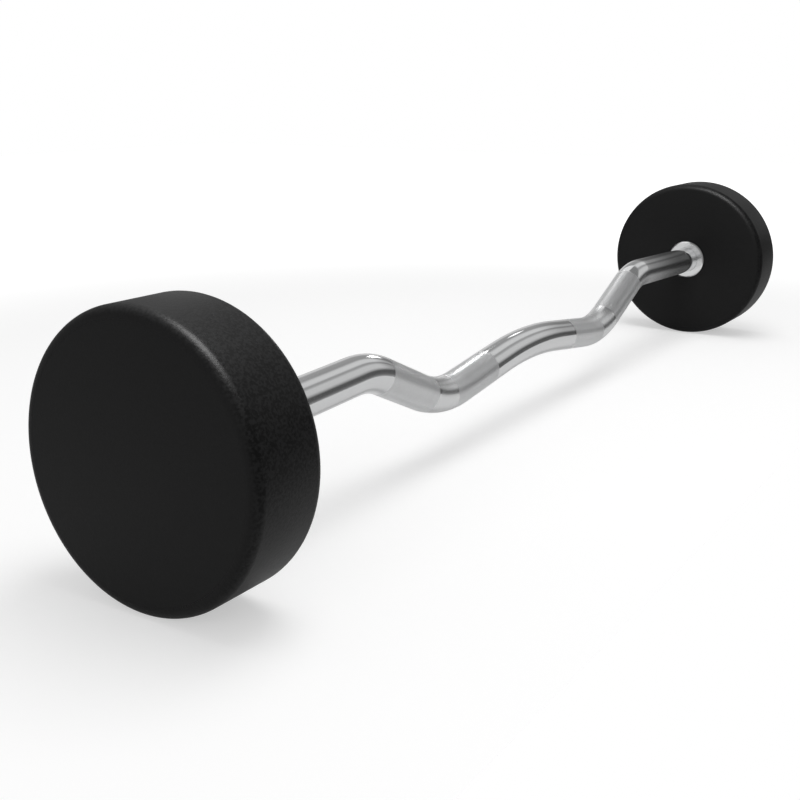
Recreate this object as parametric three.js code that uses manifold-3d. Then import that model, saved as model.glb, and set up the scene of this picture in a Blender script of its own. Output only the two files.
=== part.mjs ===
// A fixed-weight curl barbell: a chromed bar bent into a shallow W between two round rubber-cased heads.
// Millimetres, +Z up. The bar runs along X; the origin is on the floor, below the middle of the bar.

import * as THREE from "three";
import { mergeVertices } from "three/addons/utils/BufferGeometryUtils.js";
import Module from "manifold-3d";

const wasm = await Module();
wasm.setup();

// Heads and bar, overall
const headDiameter = 200;
const headThickness = 64;
const headSpacing = 940; // between the inner faces of the two heads
const rimFillet = 8;
const barDiameter = 32;

// Centre line of the bar in the X-Z plane, from the middle of the bar outwards.
// Rises and drops are measured from the axis of the heads.
const middleDrop = 20.9;
const middleBendRadius = 450;
const valleyDistance = 171.8;
const valleyDrop = 43.4;
const valleyBendRadius = 120;
const crownDistance = 280.7;
const crownRise = 6.3;
const crownBendRadius = 90;
const straightTail = 15; // run on the axis of the heads, next to each head
const tailBendRadius = 200;

// Ends of the bar inside the heads
const spigotDiameter = 25;
const spigotSetback = 2; // how far the spigot stops short of the end washer
const spigotChamfer = 1;
const tapDepth = 28;

// Rubber casing and face cover
const casingRimWall = 8.5;
const casingBackWall = 8.5;
const lipFlat = 0.5; // flat left on the casing's mouth inside the rim fillet
const faceCoverThickness = 8;
const faceCoverChamfer = 0.6;

// Iron core
const coreChamfer = 2;
const pocketSlack = 2; // room round the end washer in the core's pocket
const boltHeadRoom = 1; // between the bolt's head and the face cover

// Collar on the inner face, and its dowel pins
const collarDiameter = 48;
const collarProud = 1.5;
const collarSeatDepth = 6; // how far the collar sits into the iron core
const collarChamfer = 1.5;
const collarGap = 0.6; // open ring between the collar and the rubber
const dowelDiameter = 4;
const dowelInCollar = 6;
const dowelInCore = 9;
const dowelEndRoom = 0.3;

// Bush, washers and bolt
const bushDiameter = 30;
const endWasherDiameter = 50;
const endWasherThickness = 4;
const springWasherDiameter = 21;
const springWasherThickness = 3;
const springWasherSplit = 2; // width of the cut through the ring
const boltDiameter = 12;
const boltHeadDiameter = 18;
const boltHeadHeight = 12;
const boltShankLength = 30;
const boltChamfer = 1;
const socketAcrossFlats = 10;
const socketDepth = 6;

// Clearances and cutting
const fitGap = 0.3; // radial clearance between a piece and the bore that holds it
const cutOverrun = 1; // how far a cutting body runs past the face it cuts

// Facets
const headSides = 48;
const smallSides = 32;
const dowelSides = 12;
const barSides = 16;
const barSteps = 120;
const filletSteps = 5;

// Places along the axis of a head, counted outwards from its inner face
const coreOuterFace = headThickness - faceCoverThickness;
const seatFace = casingBackWall + collarSeatDepth;
const pocketDepth = endWasherThickness + springWasherThickness + boltHeadHeight + boltHeadRoom;
const pocketFloor = coreOuterFace - pocketDepth;
const springWasherFace = pocketFloor + endWasherThickness;
const boltSeat = springWasherFace + springWasherThickness;
const spigotEnd = pocketFloor - spigotSetback;

// Radii shared by pieces that fit into each other
const headRadius = headDiameter / 2;
const barRadius = barDiameter / 2;
const casingBore = headRadius - casingRimWall;
const coreRadius = casingBore - fitGap;
const collarRadius = collarDiameter / 2;
const collarBore = barRadius + fitGap;
const bushRadius = bushDiameter / 2;
const spigotRadius = spigotDiameter / 2;
const bushBore = spigotRadius + fitGap;
const boltRadius = boltDiameter / 2;
const boltHole = boltRadius + fitGap;
const dowelCircle = (collarRadius + collarBore) / 2;
const dowelRadius = dowelDiameter / 2;

// Places along the bar
const innerFace = headSpacing / 2;
const axisHeight = headRadius;

const finishes = {
  rubber: { color: 0x1d1d1e, roughness: 0.78, metalness: 0 },
  chrome: { color: 0xd8dadc, roughness: 0.12, metalness: 1 },
  castIron: { color: 0x4a4a4b, roughness: 0.75, metalness: 0.6 },
  steel: { color: 0x94979a, roughness: 0.4, metalness: 1 },
  blackSteel: { color: 0x2c2c2e, roughness: 0.5, metalness: 0.8 },
};

function named(name, geometry, finish) {
  const mesh = new THREE.Mesh(geometry, new THREE.MeshStandardMaterial(finish));
  mesh.name = name;
  return mesh;
}

// A body turned about the X axis. Each profile point is [place along X, radius].
// The flats touch the true circle, and one of them lies at the bottom.
function turned(profile, sides) {
  const cornerShare = 1 / Math.cos(Math.PI / sides);
  const points = profile.map(([along, radius]) => new THREE.Vector2(radius * cornerShare, along));
  const geometry = new THREE.LatheGeometry(points, sides, Math.PI / sides);
  geometry.rotateZ(-Math.PI / 2);
  return geometry;
}

// A ring turned about the X axis: the profile is closed by its first point.
function turnedRing(profile, sides) {
  return turned([...profile, profile[0]], sides);
}

// Quarter-circle corner as profile points, from one angle to another about its centre.
function quarter(centreAlong, centreRadius, radius, fromAngle, toAngle) {
  const points = [];
  for (let step = 0; step <= filletSteps; step += 1) {
    const angle = THREE.MathUtils.lerp(fromAngle, toAngle, step / filletSteps);
    points.push([centreAlong + radius * Math.cos(angle), centreRadius + radius * Math.sin(angle)]);
  }
  return points;
}

function solidFrom(geometry) {
  const bare = geometry.clone();
  bare.deleteAttribute("normal");
  bare.deleteAttribute("uv");
  const merged = mergeVertices(bare);
  return new wasm.Manifold(
    new wasm.Mesh({
      numProp: 3,
      vertProperties: new Float32Array(merged.attributes.position.array),
      triVerts: new Uint32Array(merged.index.array),
    }),
  );
}

function geometryFrom(solid) {
  const mesh = solid.getMesh();
  const geometry = new THREE.BufferGeometry();
  geometry.setAttribute("position", new THREE.BufferAttribute(mesh.vertProperties, 3));
  geometry.setIndex(new THREE.BufferAttribute(mesh.triVerts, 1));
  const faceted = geometry.toNonIndexed();
  faceted.computeVertexNormals();
  return faceted;
}

// The body left when each cutter is taken out of the first body.
function cut(geometry, cutters) {
  let solid = solidFrom(geometry);
  for (const cutter of cutters) {
    solid = solid.subtract(solidFrom(cutter));
  }
  return geometryFrom(solid);
}

// An arc that rounds the corner of a path.
class CornerArc extends THREE.Curve {
  constructor(before, corner, after, radius) {
    super();
    const arriving = corner.clone().sub(before).normalize();
    const leaving = after.clone().sub(corner).normalize();
    this.turn = arriving.angleTo(leaving);
    const reach = radius * Math.tan(this.turn / 2);
    this.axis = arriving.clone().cross(leaving).normalize();
    this.start = corner.clone().addScaledVector(arriving, -reach);
    this.finish = corner.clone().addScaledVector(leaving, reach);
    const towardsCentre = this.axis.clone().cross(arriving);
    this.centre = this.start.clone().addScaledVector(towardsCentre, radius);
    this.spoke = this.start.clone().sub(this.centre);
  }

  getPoint(share, target = new THREE.Vector3()) {
    return target.copy(this.spoke).applyAxisAngle(this.axis, this.turn * share).add(this.centre);
  }
}

// The bar's centre line, from one shoulder to the other.
function barCentreLine() {
  const shoulder = innerFace + seatFace;
  const halfCorners = [
    { distance: valleyDistance, rise: -valleyDrop, radius: valleyBendRadius },
    { distance: crownDistance, rise: crownRise, radius: crownBendRadius },
    { distance: innerFace - straightTail, rise: 0, radius: tailBendRadius },
    { distance: shoulder, rise: 0, radius: 0 },
  ];
  const place = (side, { distance, rise, radius }) => ({
    point: new THREE.Vector3(side * distance, 0, axisHeight + rise),
    radius,
  });
  const corners = [
    ...halfCorners.map((corner) => place(-1, corner)).reverse(),
    place(1, { distance: 0, rise: -middleDrop, radius: middleBendRadius }),
    ...halfCorners.map((corner) => place(1, corner)),
  ];

  const line = new THREE.CurvePath();
  let from = corners[0].point;
  for (let index = 1; index < corners.length - 1; index += 1) {
    const arc = new CornerArc(
      corners[index - 1].point,
      corners[index].point,
      corners[index + 1].point,
      corners[index].radius,
    );
    line.add(new THREE.LineCurve3(from, arc.start));
    line.add(arc);
    from = arc.finish;
  }
  line.add(new THREE.LineCurve3(from, corners.at(-1).point));
  return line;
}

function regularOutline(radius, sides) {
  const points = [];
  for (let side = 0; side < sides; side += 1) {
    const angle = (2 * Math.PI * (side + 0.5)) / sides;
    points.push(new THREE.Vector2(radius * Math.cos(angle), radius * Math.sin(angle)));
  }
  return new THREE.Shape(points);
}

// The bent bar with a turned-down spigot at each end, each with a tapped hole for its bolt.
function barGeometry() {
  const bent = new THREE.ExtrudeGeometry(regularOutline(barRadius, barSides), {
    steps: barSteps,
    extrudePath: barCentreLine(),
  });
  const spigot = turned(
    [
      [seatFace - straightTail, 0],
      [seatFace - straightTail, spigotRadius],
      [spigotEnd - spigotChamfer, spigotRadius],
      [spigotEnd, spigotRadius - spigotChamfer],
      [spigotEnd, 0],
    ],
    smallSides,
  );
  const tap = turned(
    [
      [spigotEnd - tapDepth, 0],
      [spigotEnd - tapDepth, boltHole],
      [spigotEnd + cutOverrun, boltHole],
      [spigotEnd + cutOverrun, 0],
    ],
    smallSides,
  );
  let solid = solidFrom(bent);
  for (const turn of [0, Math.PI]) {
    const placed = (geometry) =>
      geometry.clone().translate(innerFace, 0, axisHeight).rotateZ(turn);
    solid = solid.add(solidFrom(placed(spigot))).subtract(solidFrom(placed(tap)));
  }
  return geometryFrom(solid);
}

// Rubber cup: back wall with the collar's opening, side wall, and a rounded rim at both faces.
function casingGeometry() {
  const opening = collarRadius + collarGap;
  const fillet = Math.min(rimFillet, casingRimWall - lipFlat);
  return turnedRing(
    [
      [0, opening],
      ...quarter(fillet, headRadius - fillet, fillet, Math.PI, Math.PI / 2),
      ...quarter(headThickness - fillet, headRadius - fillet, fillet, Math.PI / 2, 0),
      [headThickness, casingBore],
      [casingBackWall, casingBore],
      [casingBackWall, opening],
    ],
    headSides,
  );
}

function faceCoverGeometry() {
  return turned(
    [
      [coreOuterFace, 0],
      [coreOuterFace, coreRadius],
      [headThickness - faceCoverChamfer, coreRadius],
      [headThickness, coreRadius - faceCoverChamfer],
      [headThickness, 0],
    ],
    headSides,
  );
}

// Holes for the two dowel pins, above and below the bar.
function dowelHoles(from, to) {
  const length = to - from;
  return [1, -1].map((side) =>
    new THREE.CylinderGeometry(dowelRadius + fitGap, dowelRadius + fitGap, length, dowelSides)
      .rotateZ(Math.PI / 2)
      .translate(from + length / 2, 0, side * dowelCircle),
  );
}

// Iron disc with a seat for the collar, a bore for the bush and a pocket for the bolt's head.
function coreGeometry() {
  const disc = turnedRing(
    [
      [casingBackWall, collarRadius + fitGap],
      [casingBackWall, coreRadius - coreChamfer],
      [casingBackWall + coreChamfer, coreRadius],
      [coreOuterFace - coreChamfer, coreRadius],
      [coreOuterFace, coreRadius - coreChamfer],
      [coreOuterFace, endWasherDiameter / 2 + pocketSlack],
      [pocketFloor, endWasherDiameter / 2 + pocketSlack],
      [pocketFloor, bushRadius + fitGap],
      [seatFace, bushRadius + fitGap],
      [seatFace, collarRadius + fitGap],
    ],
    headSides,
  );
  return cut(disc, dowelHoles(seatFace - cutOverrun, seatFace + dowelInCore + dowelEndRoom));
}

function collarGeometry() {
  const ring = turnedRing(
    [
      [-collarProud + collarChamfer, collarBore],
      [-collarProud, collarBore + collarChamfer],
      [-collarProud, collarRadius - collarChamfer],
      [-collarProud + collarChamfer, collarRadius],
      [seatFace, collarRadius],
      [seatFace, collarBore],
    ],
    headSides,
  );
  return cut(ring, dowelHoles(seatFace - dowelInCollar - dowelEndRoom, seatFace + cutOverrun));
}

function dowelGeometry() {
  const length = dowelInCollar + dowelInCore;
  return new THREE.CylinderGeometry(dowelRadius, dowelRadius, length, dowelSides)
    .rotateZ(Math.PI / 2)
    .translate(seatFace - dowelInCollar + length / 2, 0, 0);
}

function bushGeometry() {
  return turnedRing(
    [
      [seatFace, bushBore],
      [seatFace, bushRadius],
      [pocketFloor, bushRadius],
      [pocketFloor, bushBore],
    ],
    smallSides,
  );
}

function endWasherGeometry() {
  return turnedRing(
    [
      [pocketFloor, boltHole],
      [pocketFloor, endWasherDiameter / 2],
      [springWasherFace, endWasherDiameter / 2],
      [springWasherFace, boltHole],
    ],
    smallSides,
  );
}

// Flat ring cut through on one side.
function springWasherGeometry() {
  const outer = springWasherDiameter / 2;
  const halfSplit = Math.asin(springWasherSplit / 2 / boltHole);
  const outline = new THREE.Shape();
  outline.absarc(0, 0, outer, halfSplit, 2 * Math.PI - halfSplit, false);
  outline.absarc(0, 0, boltHole, 2 * Math.PI - halfSplit, halfSplit, true);
  return new THREE.ExtrudeGeometry(outline, {
    depth: springWasherThickness,
    bevelEnabled: false,
    curveSegments: smallSides / 2,
  })
    .rotateY(Math.PI / 2)
    .translate(springWasherFace, 0, 0);
}

// Cap screw with a hexagon socket.
function boltGeometry() {
  const headRadiusOfBolt = boltHeadDiameter / 2;
  const top = boltSeat + boltHeadHeight;
  const tip = boltSeat - boltShankLength;
  const body = turned(
    [
      [tip, 0],
      [tip, boltRadius - boltChamfer],
      [tip + boltChamfer, boltRadius],
      [boltSeat, boltRadius],
      [boltSeat, headRadiusOfBolt],
      [top - boltChamfer, headRadiusOfBolt],
      [top, headRadiusOfBolt - boltChamfer],
      [top, 0],
    ],
    smallSides,
  );
  const socketRadius = socketAcrossFlats / 2 / Math.cos(Math.PI / 6);
  const socketLength = socketDepth + cutOverrun;
  const socket = new THREE.CylinderGeometry(socketRadius, socketRadius, socketLength, 6)
    .rotateZ(Math.PI / 2)
    .translate(top - socketDepth + socketLength / 2, 0, 0);
  return cut(body, [socket]);
}

// One head with all that it holds, in its own group: X runs outwards from the inner face.
function headGroup(side) {
  const group = new THREE.Group();
  group.add(named(`${side}_rubber_casing`, casingGeometry(), finishes.rubber));
  group.add(named(`${side}_face_cover`, faceCoverGeometry(), finishes.rubber));
  group.add(named(`${side}_iron_core`, coreGeometry(), finishes.castIron));
  group.add(named(`${side}_inner_collar`, collarGeometry(), finishes.chrome));
  group.add(named(`${side}_core_bush`, bushGeometry(), finishes.steel));
  group.add(named(`${side}_end_washer`, endWasherGeometry(), finishes.steel));
  group.add(named(`${side}_spring_washer`, springWasherGeometry(), finishes.blackSteel));
  group.add(named(`${side}_end_bolt`, boltGeometry(), finishes.blackSteel));

  const upperDowel = named(`${side}_upper_dowel_pin`, dowelGeometry(), finishes.steel);
  upperDowel.position.z = dowelCircle;
  const lowerDowel = named(`${side}_lower_dowel_pin`, dowelGeometry(), finishes.steel);
  lowerDowel.position.z = -dowelCircle;
  group.add(upperDowel, lowerDowel);
  return group;
}

const barbell = new THREE.Group();
barbell.add(named("cambered_bar", barGeometry(), finishes.chrome));

const rightHead = headGroup("right");
rightHead.position.set(innerFace, 0, axisHeight);
barbell.add(rightHead);

const leftHead = headGroup("left");
leftHead.position.set(-innerFace, 0, axisHeight);
leftHead.scale.x = -1;
barbell.add(leftHead);

export default barbell;
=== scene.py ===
"""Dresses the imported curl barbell: rubber heads, chromed collars and a bent bar with real knurled grips.

Lengths are in metres. The bar runs along X, its bends lie in the X-Z plane, and the floor is at Z = 0.
"""

import math

import bpy
import numpy as np
from bpy.props import FloatProperty, FloatVectorProperty, IntProperty, PointerProperty
from bpy.types import Operator, Panel, PropertyGroup
from mathutils import Matrix, Vector


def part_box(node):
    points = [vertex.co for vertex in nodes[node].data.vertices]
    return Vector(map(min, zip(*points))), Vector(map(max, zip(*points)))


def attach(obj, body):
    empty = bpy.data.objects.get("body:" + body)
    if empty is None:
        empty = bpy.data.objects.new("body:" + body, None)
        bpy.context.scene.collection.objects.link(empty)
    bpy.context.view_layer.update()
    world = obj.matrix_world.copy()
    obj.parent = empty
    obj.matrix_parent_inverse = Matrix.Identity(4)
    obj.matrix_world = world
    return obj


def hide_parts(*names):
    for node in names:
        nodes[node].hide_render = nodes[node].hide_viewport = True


bl_info = {
    "name": "Curl Barbell",
    "version": (1, 0, 0),
    "blender": (4, 5, 0),
    "location": "3D View > Sidebar > Barbell",
    "description": "Makes a fixed-weight curl barbell with rubber heads and a knurled bar",
    "category": "Object",
}

SIDES = {"left": -1, "right": 1}

# Soft boxes and dark flags that the chrome mirrors: an angle about X in degrees and its brightness.
# 0 is behind the bar, 90 overhead and 180 on the camera's side.
STRIPS = [
    (-180, 0.07),
    (-170, 0.10),
    (-163, 0.20),
    (-155, 0.45),
    (-145, 0.68),
    (10, 0.70),
    (24, 0.60),
    (36, 0.34),
    (70, 0.30),
    (84, 0.68),
    (103, 0.70),
    (112, 0.34),
    (118, 0.34),
    (130, 0.62),
    (152, 0.61),
    (162, 0.36),
    (170, 0.08),
    (180, 0.07),
]
# The same for directions that lie across the bar.
NEAR_STRIPS = [
    (-180, 0.45),
    (-165, 0.60),
    (20, 0.55),
    (30, 0.60),
    (42, 1.90),
    (80, 1.90),
    (86, 0.44),
    (155, 0.42),
    (180, 0.45),
]

# Lights that only matt surfaces show, then those that only gloss shows: place, size and power in watts.
MATT_LIGHTS = {
    "overhead": ((0.1, -0.2, 1.9), (1.6, 1.0), 18.0),
    "fill": ((-2.2, -0.4, 0.8), (1.2, 1.2), 9.0),
}
GLOSS_LIGHTS = {
    "grip_light": ((0.106, 0.116, 0.267), (0.06, 0.06), 0.08),
    "far_grip_light": ((0.406, 0.167, 0.333), (0.05, 0.05), 0.016),
    "glint": ((-0.45, -0.24, 1.4), (0.8, 0.8), 38.0),
}

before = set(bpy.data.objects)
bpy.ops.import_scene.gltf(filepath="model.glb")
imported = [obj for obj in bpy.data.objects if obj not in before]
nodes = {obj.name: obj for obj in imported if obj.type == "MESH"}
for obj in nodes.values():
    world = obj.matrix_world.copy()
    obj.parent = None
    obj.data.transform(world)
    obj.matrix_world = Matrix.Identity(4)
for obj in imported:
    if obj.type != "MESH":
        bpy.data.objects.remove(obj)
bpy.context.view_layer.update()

MM = 0.001
# A run of the bar with less curvature than this is straight.
STRAIGHT = 1e-9
PATH_SAMPLES = 4000
FACE_RINGS = 12
CARD_SIDES = 96
SHARP_ANGLE = math.radians(32)
# How dull the plate is, from 0 for polished to 1 for the grooves of the knurl.
VALLEY_SATIN = 0.5
TOP_SATIN = 0.65
KNURL_ROUGHNESS = 0.42
COLLAR_RING_PITCH = 1.3 * MM
TURNED_RING_PITCH = 0.5 * MM
SENSOR_WIDTH = 36.0
# How much of a direction lies along X where NEAR_STRIPS end and where STRIPS begin.
ACROSS_END = 0.68
ALONG_START = 0.72
BLACK = (0.0, 0.0, 0.0)
WHITE = (1.0, 1.0, 1.0)
FLOOR_GREY = (0.6, 0.6, 0.6)
EVEN_GREY = (0.4, 0.4, 0.4)
casing_low, casing_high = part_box("right_rubber_casing")
HEAD_RADIUS = (casing_high.z - casing_low.z) / 2
AXIS_HEIGHT = (casing_high.z + casing_low.z) / 2
INNER_FACE = casing_low.x
HEAD_THICKNESS = casing_high.x - casing_low.x


def box_span(node):
    """Lowest X, highest X and half height of a node, which is the radius of a turned one."""
    lowest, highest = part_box(node)
    return lowest.x, highest.x, (highest.z - lowest.z) / 2


def metres(name, description, default):
    """Property for a length in metres."""
    return FloatProperty(name=name, description=description, default=default, subtype="DISTANCE")


def tint(name, description, default):
    """Property for a colour."""
    return FloatVectorProperty(
        name=name, description=description, default=default, subtype="COLOR", size=3
    )


class BarSizes(PropertyGroup):
    diameter: metres("Diameter", "Diameter of the bar", 0.032)
    middle_drop: metres(
        "Middle drop", "Corner of the centre line below the axis of the heads, at the middle", 0.0209
    )
    middle_bend: metres("Middle bend", "Bend radius at the middle", 0.45)
    valley_distance: metres(
        "Valley distance", "From the middle of the bar to the lowest corner of its centre line", 0.1718
    )
    valley_drop: metres(
        "Valley drop", "Lowest corner of the centre line below the axis of the heads", 0.0434
    )
    valley_bend: metres("Valley bend", "Bend radius in the valley", 0.12)
    crown_distance: metres(
        "Crown distance", "From the middle of the bar to the highest corner of its centre line", 0.2807
    )
    crown_rise: metres(
        "Crown rise", "Highest corner of the centre line above the axis of the heads", 0.0063
    )
    crown_bend: metres("Crown bend", "Bend radius at the crown", 0.09)
    straight_tail: metres("Straight tail", "Run on the axis of the heads next to each head", 0.015)
    tail_bend: metres("Tail bend", "Bend radius beside each head", 0.2)
    spigot_diameter: metres("Spigot diameter", "Turned-down end of the bar inside the head", 0.025)
    tap_diameter: metres("Tap diameter", "Hole for the end bolt", 0.0126)
    tap_depth: metres("Tap depth", "Depth of the bolt's hole", 0.028)
    ring_step: metres("Ring step", "Distance between the rings of the smooth stretches", 0.0045)


class GripSizes(PropertyGroup):
    inner_start: metres(
        "Inner grip start", "From the middle of the bar to the near end of the inner knurled band", 0.086
    )
    inner_end: metres(
        "Inner grip end", "From the middle of the bar to the far end of the inner knurled band", 0.161
    )
    outer_start: metres(
        "Outer grip start", "From the middle of the bar to the near end of the outer knurled band", 0.194
    )
    outer_end: metres(
        "Outer grip end", "From the middle of the bar to the far end of the outer knurled band", 0.265
    )
    diamonds_around: IntProperty(
        name="Diamonds around", description="Number of knurl diamonds round the bar", default=66
    )
    helix: FloatProperty(
        name="Knurl angle",
        description="Angle between the knurl's grooves and the bar",
        default=math.radians(30),
        subtype="ANGLE",
    )
    crest: metres("Crest", "Height of the diamonds above the bar", 0.00003)
    groove: metres("Groove", "Depth of the grooves below the bar", 0.0001)
    groove_share: FloatProperty(
        name="Groove share",
        description="Part of the way from a diamond's edge to its middle that the groove takes",
        default=0.27,
        subtype="FACTOR",
    )


class HeadSizes(PropertyGroup):
    rim_fillet: metres("Rim fillet", "Radius of the casing's rounded rims", 0.008)
    wall: metres("Wall", "Thickness of the casing's back wall", 0.0085)
    collar_gap: metres("Collar gap", "Open ring between the collar and the rubber", 0.0006)
    seam: metres("Seam", "Open ring between the face cover and the casing", 0.00005)
    soft_edge: metres("Soft edge", "Rounding of the rubber's small edges", 0.0006)
    collar_chamfer: metres("Collar chamfer", "Chamfer of the collar's rims", 0.0015)
    fit_gap: metres("Fit gap", "Clearance between the collar and the bar", 0.0001)
    sides: IntProperty(name="Sides", description="Facets round each turned piece", default=192)


class FinishColours(PropertyGroup):
    chrome: tint("Chrome", "Colour of the polished plate", (0.78, 0.785, 0.79))
    rubber: tint("Rubber", "Colour of the moulded rubber", (0.0056, 0.0056, 0.0058))
    iron: tint("Cast iron", "Colour of the cores", (0.07, 0.07, 0.072))
    steel: tint("Steel", "Colour of the bushes, washers and dowel pins", (0.42, 0.43, 0.44))
    black_oxide: tint("Black oxide", "Colour of the bolts and spring washers", (0.035, 0.035, 0.038))


class StageSettings(PropertyGroup):
    camera_place: FloatVectorProperty(
        name="Camera place",
        description="Where the camera stands",
        default=(-1.00074, -0.49848, 0.32791),
        subtype="TRANSLATION",
        size=3,
    )
    camera_heading: FloatProperty(
        name="Camera heading",
        description="Turn of the view from +Y towards +X",
        default=math.radians(57.016),
        subtype="ANGLE",
    )
    camera_tilt: FloatProperty(
        name="Camera tilt",
        description="Tilt of the view, negative when it looks down",
        default=math.radians(-11.239),
        subtype="ANGLE",
    )
    focal_length: FloatProperty(
        name="Focal length",
        description="Focal length in millimetres on a 36 mm sensor",
        default=51.106,
        unit="CAMERA",
    )
    shift_y: FloatProperty(
        name="Vertical shift", description="Shift of the frame, in frame widths", default=-0.1105
    )
    floor_front: metres("Floor front", "How far the floor reaches in front of the bar", 0.26)
    floor_reach: metres("Floor reach", "How far the floor reaches on the other sides", 4.0)


SETTINGS = {
    "barbell_bar": BarSizes,
    "barbell_grips": GripSizes,
    "barbell_heads": HeadSizes,
    "barbell_finishes": FinishColours,
    "barbell_stage": StageSettings,
}


class Number:
    """A number socket of a node tree that takes part in Python arithmetic."""

    def __init__(self, shader, socket):
        self.shader = shader
        self.socket = socket

    def __add__(self, other):
        return self.shader.math("ADD", self, other)

    __radd__ = __add__

    def __sub__(self, other):
        return self.shader.math("SUBTRACT", self, other)

    def __rsub__(self, other):
        return self.shader.math("SUBTRACT", other, self)

    def __mul__(self, other):
        return self.shader.math("MULTIPLY", self, other)

    __rmul__ = __mul__

    def __truediv__(self, other):
        return self.shader.math("DIVIDE", self, other)

    def __rtruediv__(self, other):
        return self.shader.math("DIVIDE", other, self)


class Shader:
    """Builds one node tree, cleared first, of a material or the world."""

    def __init__(self, owner):
        owner.use_nodes = True
        self.tree = owner.node_tree
        self.tree.nodes.clear()

    def node(self, kind, settings=None, **inputs):
        """Adds a node: its settings are set first, then values or links go into the named sockets."""
        made = self.tree.nodes.new(kind)
        for name, value in (settings or {}).items():
            if name == "stops":
                self.set_stops(made.color_ramp, value)
            else:
                setattr(made, name, value)
        for name, value in inputs.items():
            self.feed(self.find(made, name), value)
        return made

    @staticmethod
    def find(made, name):
        """The enabled input whose name, or place for in_0, in_1 and so on, is the given one."""
        if name.startswith("in_"):
            return made.inputs[int(name[3:])]
        wanted = name.replace("_", " ").lower()
        enabled = (socket for socket in made.inputs if socket.enabled)
        return next(socket for socket in enabled if socket.name.lower() == wanted)

    def feed(self, socket, value):
        """Links a number or an output to a socket, or sets the socket's own value."""
        if isinstance(value, Number):
            value = value.socket
        if isinstance(value, bpy.types.NodeSocket):
            self.tree.links.new(value, socket)
        elif hasattr(socket.default_value, "__len__") and len(socket.default_value) == 4:
            socket.default_value = (*value, 1.0) if len(value) == 3 else value
        else:
            socket.default_value = value

    @staticmethod
    def set_stops(ramp, stops):
        """Fills a colour ramp with grey stops, each a place and a brightness."""
        while len(ramp.elements) > 1:
            ramp.elements.remove(ramp.elements[-1])
        for index, (place, grey) in enumerate(stops):
            element = ramp.elements[0] if index == 0 else ramp.elements.new(place)
            element.position = place
            element.color = (grey, grey, grey, 1.0)

    def math(self, operation, first, second=0.0):
        """Result of a Math node."""
        made = self.node("ShaderNodeMath", {"operation": operation}, in_0=first, in_1=second)
        return Number(self, made.outputs[0])

    def number(self, made, output):
        """A node's output, ready for arithmetic."""
        return Number(self, made.outputs[output])

    def mix(self, factor, first, second):
        """A colour between two colours."""
        made = self.node("ShaderNodeMix", {"data_type": "RGBA"}, factor=factor, a=first, b=second)
        return made.outputs[2]

    def blend(self, factor, first, second):
        """A shader between two shaders."""
        made = self.node("ShaderNodeMixShader", in_0=factor, in_1=first, in_2=second)
        return made.outputs[0]

    def tones(self, factor, colour, darkest, brightest):
        """A colour between two multiples of the given one."""
        return self.mix(factor, colour_times(colour, darkest), colour_times(colour, brightest))

    def object_point(self):
        """Object coordinates of the shaded point."""
        return self.node("ShaderNodeTexCoord").outputs["Object"]

    def noise(self, scale, detail=2.0, roughness=0.5, vector=None):
        """Noise from 0 to 1 on Object coordinates, or on the vector that is given."""
        made = self.node(
            "ShaderNodeTexNoise",
            vector=vector or self.object_point(),
            scale=scale,
            detail=detail,
            roughness=roughness,
        )
        return self.number(made, "Fac")

    def stretched(self, scale):
        """Object coordinates with each axis multiplied by its own factor."""
        return self.node("ShaderNodeMapping", vector=self.object_point(), scale=scale).outputs[0]

    def head_radius(self):
        """Distance of the shaded point from the axis of the heads."""
        parts = self.node("ShaderNodeSeparateXYZ", vector=self.object_point())
        across = self.number(parts, "Y")
        above = self.number(parts, "Z") - AXIS_HEIGHT
        return self.math("SQRT", across * across + above * above)

    def strips(self, across, above, bands):
        """Brightness of the soft boxes and flags round the bar, by the angle of a direction about X."""
        angle = self.math("ARCTAN2", above, across)
        stops = [(degrees / 360 + 0.5, grey) for degrees, grey in bands]
        turn = angle / (2 * math.pi) + 0.5
        return self.node("ShaderNodeValToRGB", {"stops": stops}, fac=turn).outputs[0]

    def ramp(self, value, start, end, low, high):
        """Soft step from low to high as a value goes from start to end."""
        made = self.node(
            "ShaderNodeMapRange",
            {"interpolation_type": "SMOOTHSTEP"},
            value=value,
            from_min=start,
            from_max=end,
            to_min=low,
            to_max=high,
        )
        return self.number(made, "Result")

    def bump(self, height, strength, distance):
        """Normal of a surface with this relief."""
        made = self.node("ShaderNodeBump", height=height, strength=strength, distance=distance)
        return made.outputs[0]

    def surface(self, **inputs):
        """Principled surface, linked to the output."""
        made = self.node("ShaderNodeBsdfPrincipled", **inputs)
        self.output(made.outputs[0])

    def output(self, socket):
        """Links a shader to the material's output."""
        self.node("ShaderNodeOutputMaterial", surface=socket)


def colour_times(colour, factor):
    """A colour made darker or brighter, up to white."""
    return tuple(min(channel * factor, 1.0) for channel in colour)


def new_shader(name):
    """A new material and its empty node tree."""
    material = bpy.data.materials.new(name)
    return material, Shader(material)


def bar_chrome(colours):
    """Chrome plate, as dull as its satin attribute says.

    0 is polished, VALLEY_SATIN the two valleys, TOP_SATIN the diamonds' tops and 1 their grooves.
    """
    material, shader = new_shader("bar_chrome")
    satin = shader.number(shader.node("ShaderNodeAttribute", {"attribute_name": "satin"}), "Fac")
    smudges = shader.noise(35.0, detail=4.0)
    polish = shader.noise(9.0, detail=3.0, vector=shader.stretched((6.0, 60.0, 60.0)))
    smooth_roughness = 0.05 + 0.05 * smudges + 0.03 * polish
    roughness = smooth_roughness + satin * (KNURL_ROUGHNESS - smooth_roughness)
    grime = shader.noise(420.0, detail=2.0)
    dull = shader.tones(grime, colours.chrome, 0.98, 1.1)
    bright = shader.tones(smudges, colours.chrome, 0.97, 1.03)
    shader.surface(
        base_color=shader.mix(satin, bright, dull),
        metallic=0.94,
        roughness=roughness,
        normal=shader.bump(polish, 0.04, 0.0001),
    )
    return material


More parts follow.
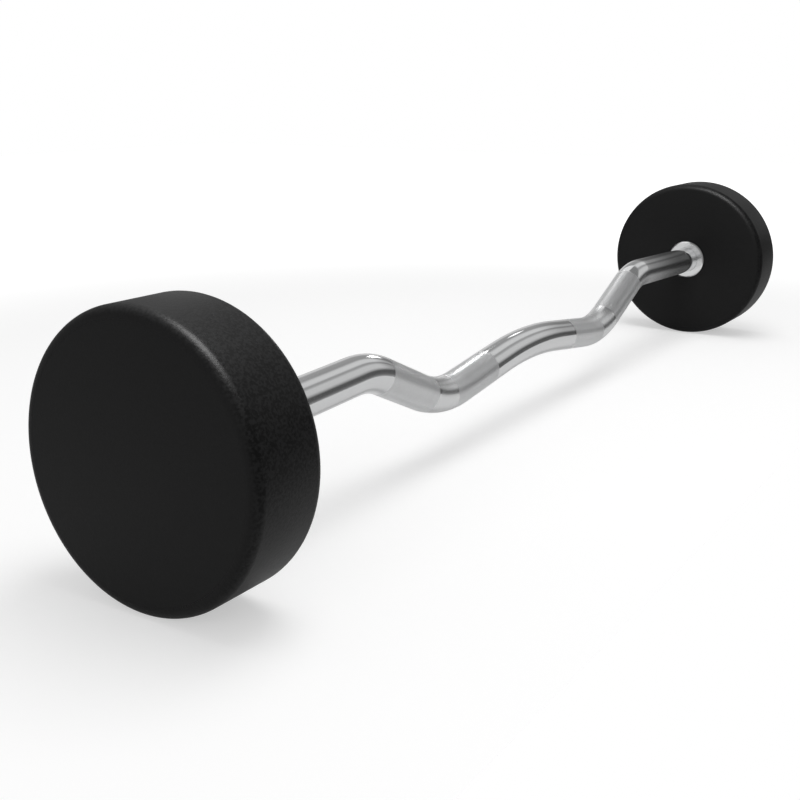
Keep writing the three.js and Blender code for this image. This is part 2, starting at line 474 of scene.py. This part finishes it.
def collar_chrome(colours):
    """Plate over a lathe-turned face: fine rings about the axis of the head."""
    material, shader = new_shader("collar_chrome")
    radius = shader.head_radius()
    rings = 0.5 + 0.5 * shader.math("SINE", radius * (2 * math.pi / COLLAR_RING_PITCH))
    uneven = shader.noise(60.0, detail=2.0)
    tone = 0.6 * rings + 0.4 * uneven
    shader.surface(
        base_color=shader.tones(tone, colours.chrome, 1.14, 1.28),
        metallic=1.0,
        roughness=0.14 + 0.08 * uneven + 0.06 * rings,
    )
    return material


def moulded_rubber(name, colours, grain):
    """Black rubber: fine pebbled grain and cloudy mottling, with speckles on the side of the head."""
    material, shader = new_shader(name)
    pebbles = shader.noise(900.0, detail=2.0, roughness=0.6)
    coarse = shader.noise(480.0, detail=2.0)
    cloud = shader.noise(14.0, detail=4.0)
    specks = shader.ramp(coarse, start=0.38, end=0.62, low=-0.5, high=0.5)
    side = shader.ramp(shader.head_radius(), 0.93 * HEAD_RADIUS, HEAD_RADIUS, low=0.0, high=1.1)
    tone = 0.45 * pebbles + 0.3 * coarse + 0.25 * cloud + specks * side
    shader.surface(
        base_color=shader.tones(tone, colours.rubber, 0.4, 1.8),
        roughness=0.38 + 0.1 * cloud + 0.16 * (coarse - 0.5),
        specular_ior_level=0.18,
        normal=shader.bump(0.5 * pebbles + 0.5 * coarse, grain, 0.0004),
    )
    return material


def cast_iron(colours):
    """Sand-cast skin: coarse grain and rust-dark clouds."""
    material, shader = new_shader("core_iron")
    grain = shader.noise(700.0, detail=4.0, roughness=0.7)
    cloud = shader.noise(22.0, detail=4.0)
    shader.surface(
        base_color=shader.tones(cloud, colours.iron, 0.7, 1.3),
        metallic=0.7,
        roughness=0.55 + 0.25 * cloud,
        normal=shader.bump(grain, 0.5, 0.0004),
    )
    return material


def turned_steel(colours):
    """Plain turned steel: rings about the axis of the head and along it."""
    material, shader = new_shader("turned_steel")
    radius = shader.head_radius()
    along = shader.number(shader.node("ShaderNodeSeparateXYZ", vector=shader.object_point()), "X")
    rings = shader.math("SINE", (radius + along) * (2 * math.pi / TURNED_RING_PITCH))
    uneven = shader.noise(260.0, detail=3.0)
    shader.surface(
        base_color=shader.tones(uneven, colours.steel, 0.85, 1.15),
        metallic=1.0,
        roughness=0.3 + 0.15 * uneven,
        normal=shader.bump(rings, 0.15, 0.00005),
    )
    return material


def black_oxide(colours):
    """Blackened steel with slightly rubbed patches."""
    material, shader = new_shader("fastener_steel")
    rubbed = shader.noise(320.0, detail=4.0)
    shader.surface(
        base_color=shader.tones(rubbed, colours.black_oxide, 1.0, 2.2),
        metallic=0.85,
        roughness=0.35 + 0.2 * rubbed,
        normal=shader.bump(rubbed, 0.1, 0.0001),
    )
    return material


def grid_faces(rows, columns, wrap_rows):
    """Quads between neighbouring rows of a grid whose columns wrap round, as vertex numbers.

    They face away from the axis of a grid whose rows run towards +X and whose columns turn from +Y to +Z.
    """
    row_count = rows if wrap_rows else rows - 1
    row = np.arange(row_count)[:, None]
    column = np.arange(columns)[None, :]
    next_row = (row + 1) % rows
    next_column = (column + 1) % columns
    quads = np.stack(
        [
            row * columns + column,
            row * columns + next_column,
            next_row * columns + next_column,
            next_row * columns + column,
        ],
        axis=-1,
    )
    return quads.reshape(-1, 4)


def make_piece(name, vertices, faces, material, replaced, flat_count=0):
    """Turns points and a list of face arrays into a finished piece that rides on the barbell.

    The first flat_count faces stay flat and the others are smooth, with crisp edges over SHARP_ANGLE.
    """
    mesh = bpy.data.meshes.new(name)
    corners = np.concatenate([block.ravel() for block in faces]).astype(np.int32)
    sides = np.concatenate([np.full(len(block), block.shape[1]) for block in faces])
    mesh.vertices.add(len(vertices))
    mesh.vertices.foreach_set("co", np.ascontiguousarray(vertices, np.float32).ravel())
    mesh.loops.add(len(corners))
    mesh.loops.foreach_set("vertex_index", corners)
    mesh.polygons.add(len(sides))
    mesh.polygons.foreach_set("loop_start", (np.cumsum(sides) - sides).astype(np.int32))
    mesh.polygons.foreach_set("use_smooth", np.arange(len(sides)) >= flat_count)
    mesh.update(calc_edges=True)
    if mesh.validate():
        raise RuntimeError(f"{name}: the mesh had faults")
    mesh.set_sharp_from_angle(angle=SHARP_ANGLE)
    mesh.materials.append(material)
    piece = bpy.data.objects.new(name, mesh)
    bpy.context.scene.collection.objects.link(piece)
    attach(piece, "root")
    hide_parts(replaced)
    return piece


def arc_points(centre_along, centre_radius, radius, from_degrees, to_degrees, steps=12):
    """Points on an arc: place along the axis by the cosine, distance from the axis by the sine."""
    angle = np.radians(np.linspace(from_degrees, to_degrees, steps + 1))
    along = centre_along + radius * np.cos(angle)
    return np.stack([along, centre_radius + radius * np.sin(angle)], axis=1)


def turned_arrays(profile, sides, side, closed):
    """Surface of revolution about the axis of the heads.

    A profile point (a, r) at angle t gives (side * a, r cos t, axis height + r sin t). A closed profile
    makes a ring. An open one starts and ends on the axis, where its rows shrink to one point each.
    """
    along = profile[:, 0]
    radius = profile[:, 1]
    turn = 2 * np.pi * np.arange(sides) / sides
    grid = np.stack(
        [
            np.broadcast_to(side * along[:, None], (len(along), sides)),
            radius[:, None] * np.cos(turn),
            AXIS_HEIGHT + radius[:, None] * np.sin(turn),
        ],
        axis=-1,
    )
    if closed:
        vertices = grid.reshape(-1, 3)
        quads = grid_faces(len(along), sides, wrap_rows=True)
        return vertices, [quads if side > 0 else quads[:, ::-1]]
    quads, fans = capped_faces(len(along) - 2, sides)
    if side < 0:
        quads, fans = quads[:, ::-1], fans[:, ::-1]
    return capped_points(grid), [quads, fans]


def capped_points(grid):
    """Points of a grid whose first and last rows are single points, which come last."""
    return np.concatenate([grid[1:-1].reshape(-1, 3), grid[0, :1], grid[-1, :1]])


def capped_faces(rows, columns):
    """Quads between the rows of such a grid, and the triangles that join its ends to one point each."""
    column = np.arange(columns)
    following = (column + 1) % columns
    first_point = np.full(columns, rows * columns)
    last_row = (rows - 1) * columns
    first = np.stack([first_point, following, column], axis=1)
    last = np.stack([first_point + 1, last_row + column, last_row + following], axis=1)
    return grid_faces(rows, columns, wrap_rows=False), np.concatenate([first, last])


class BarPath:
    """The bar's centre line in the X-Z plane, as straight runs and arcs from its middle to its end.

    With a run's starting point p, heading h and curvature k, the point a length d along it is
    p + (sin(h + k d) - sin h, cos h - cos(h + k d)) / k, or p + d (cos h, sin h) where k is zero.
    The other half is the mirror image.
    """

    def __init__(self, sizes, end):
        corners = np.array(
            [
                (-sizes.valley_distance, -sizes.valley_drop),
                (0.0, -sizes.middle_drop),
                (sizes.valley_distance, -sizes.valley_drop),
                (sizes.crown_distance, sizes.crown_rise),
                (INNER_FACE - sizes.straight_tail, 0.0),
                (end, 0.0),
            ]
        )
        radii = [sizes.middle_bend, sizes.valley_bend, sizes.crown_bend, sizes.tail_bend]
        steps = np.diff(corners, axis=0)
        lengths = np.hypot(steps[:, 0], steps[:, 1])
        headings = np.arctan2(steps[:, 1], steps[:, 0])
        turns = np.diff(headings)
        reaches = np.array(radii) * np.tan(np.abs(turns) / 2)
        # A run is a straight length, or else an angle turned and a bend radius.
        runs = [(0.0, turns[0] / 2, radii[0])]
        for index in range(1, len(radii)):
            straight = lengths[index] - reaches[index - 1] - reaches[index]
            runs += [(straight, 0.0, 0.0), (0.0, turns[index], radii[index])]
        runs.append((lengths[-1] - reaches[-1], 0.0, 0.0))

        middle_height = -sizes.middle_drop - radii[0] * (1 / math.cos(turns[0] / 2) - 1)
        self.starts, self.headings, self.curvatures, self.points = [], [], [], []
        place, heading, point = 0.0, 0.0, np.array([0.0, middle_height])
        for straight, turn, radius in runs:
            length = straight or abs(turn) * radius
            curvature = turn / length
            self.starts.append(place)
            self.headings.append(heading)
            self.curvatures.append(curvature)
            self.points.append(point)
            point = point + self.travel(heading, curvature, length)
            heading += turn
            place += length
        self.length = place

    @staticmethod
    def travel(heading, curvature, length):
        """How far a run with this heading and curvature carries the line over a length."""
        bent = np.abs(curvature) > STRAIGHT
        divisor = np.where(bent, curvature, 1.0)
        final = heading + curvature * length
        along = np.where(bent, (np.sin(final) - np.sin(heading)) / divisor, length * np.cos(heading))
        above = np.where(bent, (np.cos(heading) - np.cos(final)) / divisor, length * np.sin(heading))
        return np.stack([along, above], axis=-1)

    def at(self, place):
        """Points and headings at signed lengths from the middle of the bar."""
        distance = np.abs(place)
        run = np.clip(np.searchsorted(self.starts, distance, side="right") - 1, 0, None)
        heading = np.array(self.headings)[run]
        curvature = np.array(self.curvatures)[run]
        further = distance - np.array(self.starts)[run]
        points = np.array(self.points)[run] + self.travel(heading, curvature, further)
        points[:, 0] *= np.sign(place)
        return points, (heading + curvature * further) * np.sign(place)

    def place_of(self, distance):
        """Length along the bar at which it is a given X distance from the middle."""
        places = np.linspace(0.0, self.length, PATH_SAMPLES)
        points, _ = self.at(places)
        return float(np.interp(distance, points[:, 0], places))


def half_stations(sizes, grips, path, spigot):
    """Rings of one half of the bar, from its middle to its end: places, radii and knurl rows.

    Smooth stretches have evenly spaced rings, whose row is -1. A knurled band has rings half a diamond
    apart, numbered from 0. The spigot is given by the places of its shoulder and its end.
    """
    radius = sizes.diameter / 2
    around = math.pi * sizes.diameter / grips.diamonds_around
    half_diamond = around / math.tan(grips.helix) / 2
    bands = [
        (path.place_of(grips.inner_start), path.place_of(grips.inner_end)),
        (path.place_of(grips.outer_start), path.place_of(grips.outer_end)),
    ]
    shoulder, spigot_end = spigot
    places, rows = [], []
    start = 0.0
    for band_start, band_end in bands:
        smooth = np.linspace(start, band_start, max(2, round((band_start - start) / sizes.ring_step)))
        count = 2 * round((band_end - band_start) / half_diamond / 2)
        knurled = np.linspace(band_start, band_end, count + 1)[1:-1]
        places += [smooth, knurled]
        rows += [np.full(len(smooth), -1), np.arange(len(knurled))]
        start = band_end
    smooth = np.linspace(start, shoulder, round((shoulder - start) / sizes.ring_step))
    places.append(smooth)
    rows.append(np.full(len(smooth), -1))
    places, rows = np.concatenate(places), np.concatenate(rows)
    radii = np.full(len(places), radius)

    chamfer = 1 * MM
    end_places = [shoulder, spigot_end - chamfer, spigot_end, spigot_end]
    end_places += [spigot_end - sizes.tap_depth, spigot_end - sizes.tap_depth]
    spigot_radius = sizes.spigot_diameter / 2
    tap_radius = sizes.tap_diameter / 2
    end_radii = [spigot_radius, spigot_radius, spigot_radius - chamfer, tap_radius, tap_radius, 0.0]
    places = np.concatenate([places, end_places])
    radii = np.concatenate([radii, end_radii])
    rows = np.concatenate([rows, np.full(len(end_places), -1)])
    return places, radii, rows


def bar_points(path, places, turns, radii):
    """Points at lengths along the bar, angles round it and distances from its centre line.

    The point at angle t and distance r is the centre, plus r cos t across the bar, plus r sin t along
    the bend's normal.
    """
    points, headings = path.at(places)
    outwards = radii * np.sin(turns)
    return np.stack(
        [
            points[:, 0] - np.sin(headings) * outwards,
            radii * np.cos(turns),
            AXIS_HEIGHT + points[:, 1] + np.cos(headings) * outwards,
        ],
        axis=-1,
    )


def knurl_arrays(path, grips, places, rows, radius, columns):
    """Flat-topped diamonds of the knurled bands, between grooves that cross at every other grid point.

    A diamond's middle is a grid point whose row and column numbers add up to an odd number, and its
    corners are the four neighbours of that point. Its flat top has its corners on the lines from middle
    to corner, and a sloping side joins each edge of the top to the groove. Triangles fill the gaps at
    the ends of a band.
    """
    in_band = rows[:, None] >= 0
    odd = (rows[:, None] + np.arange(columns)) % 2 == 1
    ring, column = np.nonzero(in_band & odd)
    left, right = (column - 1) % columns, (column + 1) % columns
    corners = np.stack(
        [
            (ring + 1) * columns + column,
            ring * columns + left,
            (ring - 1) * columns + column,
            ring * columns + right,
        ],
        axis=1,
    )
    reach = 1.0 - grips.groove_share
    ahead, behind = places[ring + 1] - places[ring], places[ring - 1] - places[ring]
    still = np.zeros(len(ring))
    top_places = places[ring, None] + reach * np.stack([ahead, still, behind, still], axis=1)
    top_turns = (column[:, None] + reach * np.array([0, -1, 0, 1])) * (2 * np.pi / columns)
    top_radii = np.full(top_turns.size, radius + grips.crest)
    points = bar_points(path, top_places.ravel(), top_turns.ravel(), top_radii)
    tops = len(rows) * columns + np.arange(top_turns.size).reshape(-1, 4)
    slopes = np.stack([corners, np.roll(corners, -1, 1), np.roll(tops, -1, 1), tops], axis=-1)

    groove_ring, groove = np.nonzero(in_band & ~odd)
    gaps = []
    for step in (-1, 1):
        at_edge = rows[groove_ring + step] < 0
        middle = groove_ring[at_edge] * columns + groove[at_edge]
        edge = (groove_ring[at_edge] + step) * columns
        here = edge + groove[at_edge]
        before = edge + (groove[at_edge] - 1) % columns
        after = edge + (groove[at_edge] + 1) % columns
        first = np.stack([before, middle, here], axis=1)
        second = np.stack([here, middle, after], axis=1)
        both = np.concatenate([first, second])
        gaps.append(both if step > 0 else both[:, ::-1])
    return points, [tops, slopes.reshape(-1, 4), *gaps]


def bar_arrays(sizes, grips):
    """The whole bar: rings carried along its centre line, with knurled diamonds in the four bands.

    Returns the points, the face arrays, how many faces are flat, and the satin value of each point.
    """
    shoulder = box_span("right_inner_collar")[1]
    path = BarPath(sizes, shoulder)
    spigot_end = path.length + box_span("cambered_bar")[1] - shoulder
    places, radii, rows = half_stations(sizes, grips, path, (path.length, spigot_end))
    places = np.concatenate([-places[:0:-1], places])
    radii = np.concatenate([radii[:0:-1], radii])
    rows = np.concatenate([rows[:0:-1], rows])

    columns = 2 * grips.diamonds_around
    turn = 2 * np.pi * np.arange(columns) / columns
    ring_radii = np.where(rows >= 0, radii - grips.groove, radii)
    turns = np.tile(turn, len(places))
    grid = bar_points(path, np.repeat(places, columns), turns, np.repeat(ring_radii, columns))
    grid = grid.reshape(len(places), columns, 3)
    inner_places, inner_rows = places[1:-1], rows[1:-1]
    radius = sizes.diameter / 2
    top_points, knurled = knurl_arrays(path, grips, inner_places, inner_rows, radius, columns)
    quads, fans = capped_faces(len(inner_rows), columns)
    knurled_cell = np.repeat(np.maximum(inner_rows[:-1], inner_rows[1:]) >= 0, columns)
    shift = np.where(fans >= len(inner_rows) * columns, len(top_points), 0)
    faces = [*knurled, quads[~knurled_cell], fans + shift]
    flat_count = sum(len(block) for block in knurled)
    ring_points = capped_points(grid)
    points = np.concatenate([ring_points[:-2], top_points, ring_points[-2:]])

    distance = np.abs(path.at(inner_places)[0][:, 0])
    valley = (distance > grips.inner_end) & (distance < grips.outer_start)
    satin = np.where(inner_rows >= 0, 1.0, np.where(valley, VALLEY_SATIN, 0.0))
    satin = np.concatenate([np.repeat(satin, columns), np.full(len(top_points), TOP_SATIN), [0.0, 0.0]])

    used, packed = np.unique(np.concatenate([block.ravel() for block in faces]), return_inverse=True)
    cuts = np.cumsum([block.size for block in faces])[:-1]
    faces = [part.reshape(block.shape) for part, block in zip(np.split(packed, cuts), faces)]
    return points[used], faces, flat_count, satin[used].astype(np.float32)


def casing_profile(sizes):
    """Section of the rubber cup, closed on itself: inner face, rounded rims, bore and back wall."""
    opening = box_span("right_inner_collar")[2] + sizes.collar_gap
    outer_face = INNER_FACE + HEAD_THICKNESS
    bore = box_span("right_face_cover")[2] + sizes.seam
    back_wall = INNER_FACE + sizes.wall
    fillet = sizes.rim_fillet
    soft = sizes.soft_edge
    return np.concatenate(
        [
            arc_points(INNER_FACE + soft, opening + soft, soft, 270, 180, steps=4),
            arc_points(INNER_FACE + fillet, HEAD_RADIUS - fillet, fillet, 180, 90),
            arc_points(outer_face - fillet, HEAD_RADIUS - fillet, fillet, 90, 0),
            [(outer_face, bore), (back_wall, bore), (back_wall, opening)],
        ]
    )


def cover_profile(sizes):
    """Section of the face cover: a flat disc whose inner edge is chamfered."""
    inner, outer, radius = box_span("right_face_cover")
    soft = sizes.soft_edge
    flats = np.linspace(radius, 0.0, FACE_RINGS)
    face = np.stack([np.full(len(flats), outer), flats], axis=1)
    return np.concatenate([[(inner, 0.0), (inner, radius - soft), (inner + soft, radius)], face])


def collar_profile(sizes, bar_radius):
    """Section of the collar: a chamfered ring with a fine groove near the rim of its front face."""
    front, back, radius = box_span("right_inner_collar")
    bore = bar_radius + sizes.fit_gap
    chamfer = sizes.collar_chamfer
    rim = radius - chamfer
    bore_chamfer = chamfer / 10
    groove_depth = chamfer / 10
    groove_outer = rim - chamfer / 2
    groove_inner = groove_outer - chamfer / 2
    return np.array(
        [
            (front + bore_chamfer, bore),
            (front, bore + bore_chamfer),
            (front, groove_inner),
            (front + groove_depth, groove_inner + groove_depth),
            (front + groove_depth, groove_outer - groove_depth),
            (front, groove_outer),
            (front, rim),
            (front + chamfer, radius),
            (back, radius),
            (back, bore),
        ]
    )


class BARBELL_OT_bar(Operator):
    """Makes the bent bar with its knurled grips, turned ends and bolt holes."""

    bl_idname = "barbell.bar"
    bl_label = "Bar"

    def execute(self, context):
        scene = context.scene
        vertices, faces, flat_count, satin = bar_arrays(scene.barbell_bar, scene.barbell_grips)
        material = bar_chrome(scene.barbell_finishes)
        piece = make_piece("bar", vertices, faces, material, "cambered_bar", flat_count)
        attribute = piece.data.attributes.new("satin", "FLOAT", "POINT")
        attribute.data.foreach_set("value", satin)
        return {"FINISHED"}


class BARBELL_OT_casings(Operator):
    """Makes the rubber casings of both heads."""

    bl_idname = "barbell.casings"
    bl_label = "Rubber casings"

    def execute(self, context):
        scene = context.scene
        sizes = scene.barbell_heads
        material = moulded_rubber("casing_rubber", scene.barbell_finishes, grain=0.5)
        for word, side in SIDES.items():
            vertices, faces = turned_arrays(casing_profile(sizes), sizes.sides, side, closed=True)
            name = f"{word}_casing"
            make_piece(name, vertices, faces, material, f"{word}_rubber_casing")
        return {"FINISHED"}


class BARBELL_OT_covers(Operator):
    """Makes the flat rubber discs that close the outer faces."""

    bl_idname = "barbell.covers"
    bl_label = "Face covers"

    def execute(self, context):
        scene = context.scene
        sizes = scene.barbell_heads
        material = moulded_rubber("cover_rubber", scene.barbell_finishes, grain=0.2)
        for word, side in SIDES.items():
            vertices, faces = turned_arrays(cover_profile(sizes), sizes.sides, side, closed=False)
            name = f"{word}_cover"
            make_piece(name, vertices, faces, material, f"{word}_face_cover")
        return {"FINISHED"}


class BARBELL_OT_collars(Operator):
    """Makes the chromed collars on the inner faces."""

    bl_idname = "barbell.collars"
    bl_label = "Collars"

    def execute(self, context):
        scene = context.scene
        sizes = scene.barbell_heads
        material = collar_chrome(scene.barbell_finishes)
        profile = collar_profile(sizes, scene.barbell_bar.diameter / 2)
        for word, side in SIDES.items():
            vertices, faces = turned_arrays(profile, sizes.sides, side, closed=True)
            name = f"{word}_collar"
            make_piece(name, vertices, faces, material, f"{word}_inner_collar")
        return {"FINISHED"}


class BARBELL_OT_inner_parts(Operator):
    """Gives the cores, bushes, washers, bolts and dowel pins inside the heads their finishes."""

    bl_idname = "barbell.inner_parts"
    bl_label = "Inner parts"

    def execute(self, context):
        colours = context.scene.barbell_finishes
        iron = cast_iron(colours)
        steel = turned_steel(colours)
        black = black_oxide(colours)
        finishes = {
            "iron_core": iron,
            "core_bush": steel,
            "end_washer": steel,
            "upper_dowel_pin": steel,
            "lower_dowel_pin": steel,
            "spring_washer": black,
            "end_bolt": black,
        }
        for word in SIDES:
            for piece, material in finishes.items():
                mesh = nodes[f"{word}_{piece}"].data
                mesh.materials.clear()
                mesh.materials.append(material)
        return {"FINISHED"}


class BARBELL_OT_stage(Operator):
    """Makes the pale floor, the white surroundings, the lights, the cards and the camera."""

    bl_idname = "barbell.stage"
    bl_label = "Stage"

    def execute(self, context):
        scene = context.scene
        settings = scene.barbell_stage
        self.add_camera(scene, settings)
        self.add_floor(scene, settings)
        self.add_world(scene)
        for name, (place, size, power) in MATT_LIGHTS.items():
            self.add_softbox(scene, name, place, size, power, reflected=False)
        for name, (place, size, power) in GLOSS_LIGHTS.items():
            self.add_softbox(scene, name, place, size, power, reflected=True)
        self.light_heads_only(bpy.data.objects["glint"])
        self.add_cards(scene)
        scene.view_settings.view_transform = "Standard"
        return {"FINISHED"}

    @staticmethod
    def add_camera(scene, settings):
        """Camera that looks along its heading and tilt, with its frame kept upright."""
        heading, tilt = settings.camera_heading, settings.camera_tilt
        forward = Vector(
            (
                math.sin(heading) * math.cos(tilt),
                math.cos(heading) * math.cos(tilt),
                math.sin(tilt),
            )
        )
        right = Vector((math.cos(heading), -math.sin(heading), 0.0))
        up = right.cross(forward)
        lens = bpy.data.cameras.new("camera")
        lens.sensor_width = SENSOR_WIDTH
        lens.lens = settings.focal_length
        lens.shift_y = settings.shift_y
        lens.clip_start = 10 * MM
        camera = bpy.data.objects.new("camera", lens)
        turn = Matrix((right, up, -forward)).transposed()
        camera.matrix_world = Matrix.Translation(settings.camera_place) @ turn.to_4x4()
        scene.collection.objects.link(camera)
        scene.camera = camera

    @staticmethod
    def add_floor(scene, settings):
        """Pale floor that turns white away from the barbell. Gloss sees it glow a little close by."""
        reach, front = settings.floor_reach, -settings.floor_front
        mesh = bpy.data.meshes.new("floor")
        corners = [(-reach, front, 0.0), (reach, front, 0.0), (reach, reach, 0.0), (-reach, reach, 0.0)]
        mesh.from_pydata(corners, [], [(0, 1, 2, 3)])
        material, shader = new_shader("floor")
        rays = shader.node("ShaderNodeLightPath")
        point = shader.object_point()
        distance = shader.node("ShaderNodeVectorMath", {"operation": "LENGTH"}, in_0=point)
        away = shader.number(distance, "Value")
        lift = shader.ramp(away, start=0.7, end=1.8, low=0.48, high=1.0)
        glow = shader.ramp(away, start=0.4, end=0.8, low=0.16, high=0.0)
        shine = shader.number(rays, "Is Camera Ray") * lift + shader.number(rays, "Is Glossy Ray") * glow
        shader.surface(
            base_color=FLOOR_GREY,
            roughness=0.9,
            emission_color=shader.mix(shine, BLACK, WHITE),
            emission_strength=1.0,
        )
        mesh.materials.append(material)
        floor = bpy.data.objects.new("floor", mesh)
        scene.collection.objects.link(floor)

    @staticmethod
    def add_world(scene):
        """White for the eye and an even grey for matt surfaces.

        Reflections see long soft boxes and dark flags parallel to the bar, as two ramps on the angle
        about X: NEAR_STRIPS in directions across the bar, which are also dimmer, and STRIPS along it,
        dimmed towards the far end.
        """
        world = bpy.data.worlds.new("studio")
        scene.world = world
        shader = Shader(world)
        direction = shader.node("ShaderNodeTexCoord").outputs["Generated"]
        parts = shader.node("ShaderNodeSeparateXYZ", vector=direction)
        ahead, across, above = (shader.number(parts, name) for name in "XYZ")
        along = shader.math("ABSOLUTE", ahead)
        lengthwise = shader.ramp(along, ACROSS_END, ALONG_START, low=0.0, high=1.0)
        near_strips = shader.strips(across, above, NEAR_STRIPS)
        strips = shader.mix(lengthwise, near_strips, shader.strips(across, above, STRIPS))
        gain = shader.ramp(along, ACROSS_END, ALONG_START, low=0.45, high=1.0)
        gain = gain * shader.ramp(ahead, start=0.88, end=0.97, low=1.0, high=0.55)
        dimmed = shader.node("ShaderNodeVectorMath", {"operation": "SCALE"}, in_0=strips, scale=gain)
        reflected = shader.node("ShaderNodeBackground", color=dimmed.outputs[0], strength=1.0)
        rays = shader.node("ShaderNodeLightPath")
        pale = shader.mix(shader.number(rays, "Is Camera Ray"), EVEN_GREY, WHITE)
        even = shader.node("ShaderNodeBackground", color=pale, strength=1.0)
        glossy = shader.number(rays, "Is Glossy Ray")
        chosen = shader.blend(glossy, even.outputs[0], reflected.outputs[0])
        shader.node("ShaderNodeOutputWorld", surface=chosen)

    @staticmethod
    def add_cards(scene):
        """Dim reflectors before the heads' inner faces, seen only in gloss and from the bar's side.

        They carry the strips of the surroundings on to the bar's ends, which otherwise mirror black
        rubber. Each is a flat ring, given by its inner and its outer circle.
        """
        hole_gap, face_gap = 1 * MM, 2 * MM
        material, shader = new_shader("card")
        parts = shader.node("ShaderNodeSeparateXYZ", vector=shader.object_point())
        across, above = shader.number(parts, "Y"), shader.number(parts, "Z") - AXIS_HEIGHT
        strips = shader.strips(across, above, STRIPS)
        fade = shader.ramp(shader.head_radius(), 0.35 * HEAD_RADIUS, HEAD_RADIUS, low=0.1, high=0.52)
        glow = shader.node("ShaderNodeEmission", color=shader.mix(fade, BLACK, strips), strength=1.0)
        clear = shader.node("ShaderNodeBsdfTransparent")
        behind = shader.number(shader.node("ShaderNodeNewGeometry"), "Backfacing")
        shader.output(shader.blend(behind, glow.outputs[0], clear.outputs[0]))
        hole_radius = box_span("right_inner_collar")[2] + hole_gap
        radii = np.array([hole_radius, HEAD_RADIUS])[:, None]
        turn = 2 * np.pi * np.arange(CARD_SIDES) / CARD_SIDES
        for word, side in SIDES.items():
            along = np.full((2, CARD_SIDES), side * (INNER_FACE - face_gap))
            rings = np.stack([along, radii * np.cos(turn), AXIS_HEIGHT + radii * np.sin(turn)], axis=-1)
            faces = grid_faces(2, CARD_SIDES, wrap_rows=False)
            faces = faces if side > 0 else faces[:, ::-1]
            mesh = bpy.data.meshes.new(f"{word}_card")
            mesh.from_pydata(rings.reshape(-1, 3).tolist(), [], faces.tolist())
            mesh.materials.append(material)
            card = bpy.data.objects.new(f"{word}_card", mesh)
            card.visible_camera = False
            card.visible_diffuse = False
            card.visible_transmission = False
            card.visible_shadow = False
            scene.collection.objects.link(card)

    @staticmethod
    def add_softbox(scene, name, place, size, power, reflected):
        """A soft light aimed at the bar's middle, which shows only in gloss or only on matt surfaces."""
        light = bpy.data.lights.new(name, "AREA")
        light.shape = "RECTANGLE"
        light.size, light.size_y = size
        light.energy = power
        softbox = bpy.data.objects.new(name, light)
        aim = Vector((0.0, 0.0, AXIS_HEIGHT)) - Vector(place)
        turn = aim.to_track_quat("-Z", "Y").to_matrix().to_4x4()
        softbox.matrix_world = Matrix.Translation(place) @ turn
        softbox.visible_glossy = reflected
        softbox.visible_diffuse = not reflected
        softbox.visible_camera = False
        scene.collection.objects.link(softbox)

    @staticmethod
    def light_heads_only(softbox):
        """Keeps a light to the rubber of the heads, which have to be there by now."""
        heads = bpy.data.collections.new("heads")
        for word in SIDES:
            heads.objects.link(bpy.data.objects[f"{word}_casing"])
            heads.objects.link(bpy.data.objects[f"{word}_cover"])
        softbox.light_linking.receiver_collection = heads


# In the order in which they run. The stage comes last, because one of its lights is kept to the heads.
OPERATORS = (
    BARBELL_OT_casings,
    BARBELL_OT_covers,
    BARBELL_OT_collars,
    BARBELL_OT_bar,
    BARBELL_OT_inner_parts,
    BARBELL_OT_stage,
)


class BARBELL_PT_panel(Panel):
    """Lists the barbell's settings and pieces in the sidebar."""

    bl_label = "Curl barbell"
    bl_idname = "BARBELL_PT_panel"
    bl_space_type = "VIEW_3D"
    bl_region_type = "UI"
    bl_category = "Barbell"

    def draw(self, context):
        layout = self.layout
        for attribute in SETTINGS:
            box = layout.box()
            group = getattr(context.scene, attribute)
            for name in group.__annotations__:
                box.prop(group, name)
        for operator in OPERATORS:
            layout.operator(operator.bl_idname)


def register():
    for settings in SETTINGS.values():
        bpy.utils.register_class(settings)
    for operator in OPERATORS:
        bpy.utils.register_class(operator)
    bpy.utils.register_class(BARBELL_PT_panel)
    for attribute, settings in SETTINGS.items():
        setattr(bpy.types.Scene, attribute, PointerProperty(type=settings))


def unregister():
    for attribute in SETTINGS:
        delattr(bpy.types.Scene, attribute)
    bpy.utils.unregister_class(BARBELL_PT_panel)
    for operator in reversed(OPERATORS):
        bpy.utils.unregister_class(operator)
    for settings in reversed(SETTINGS.values()):
        bpy.utils.unregister_class(settings)


def main():
    """Registers the add-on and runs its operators."""
    register()
    for operator in OPERATORS:
        group, name = operator.bl_idname.split(".")
        getattr(getattr(bpy.ops, group), name)()


if __name__ == "__main__":
    main()
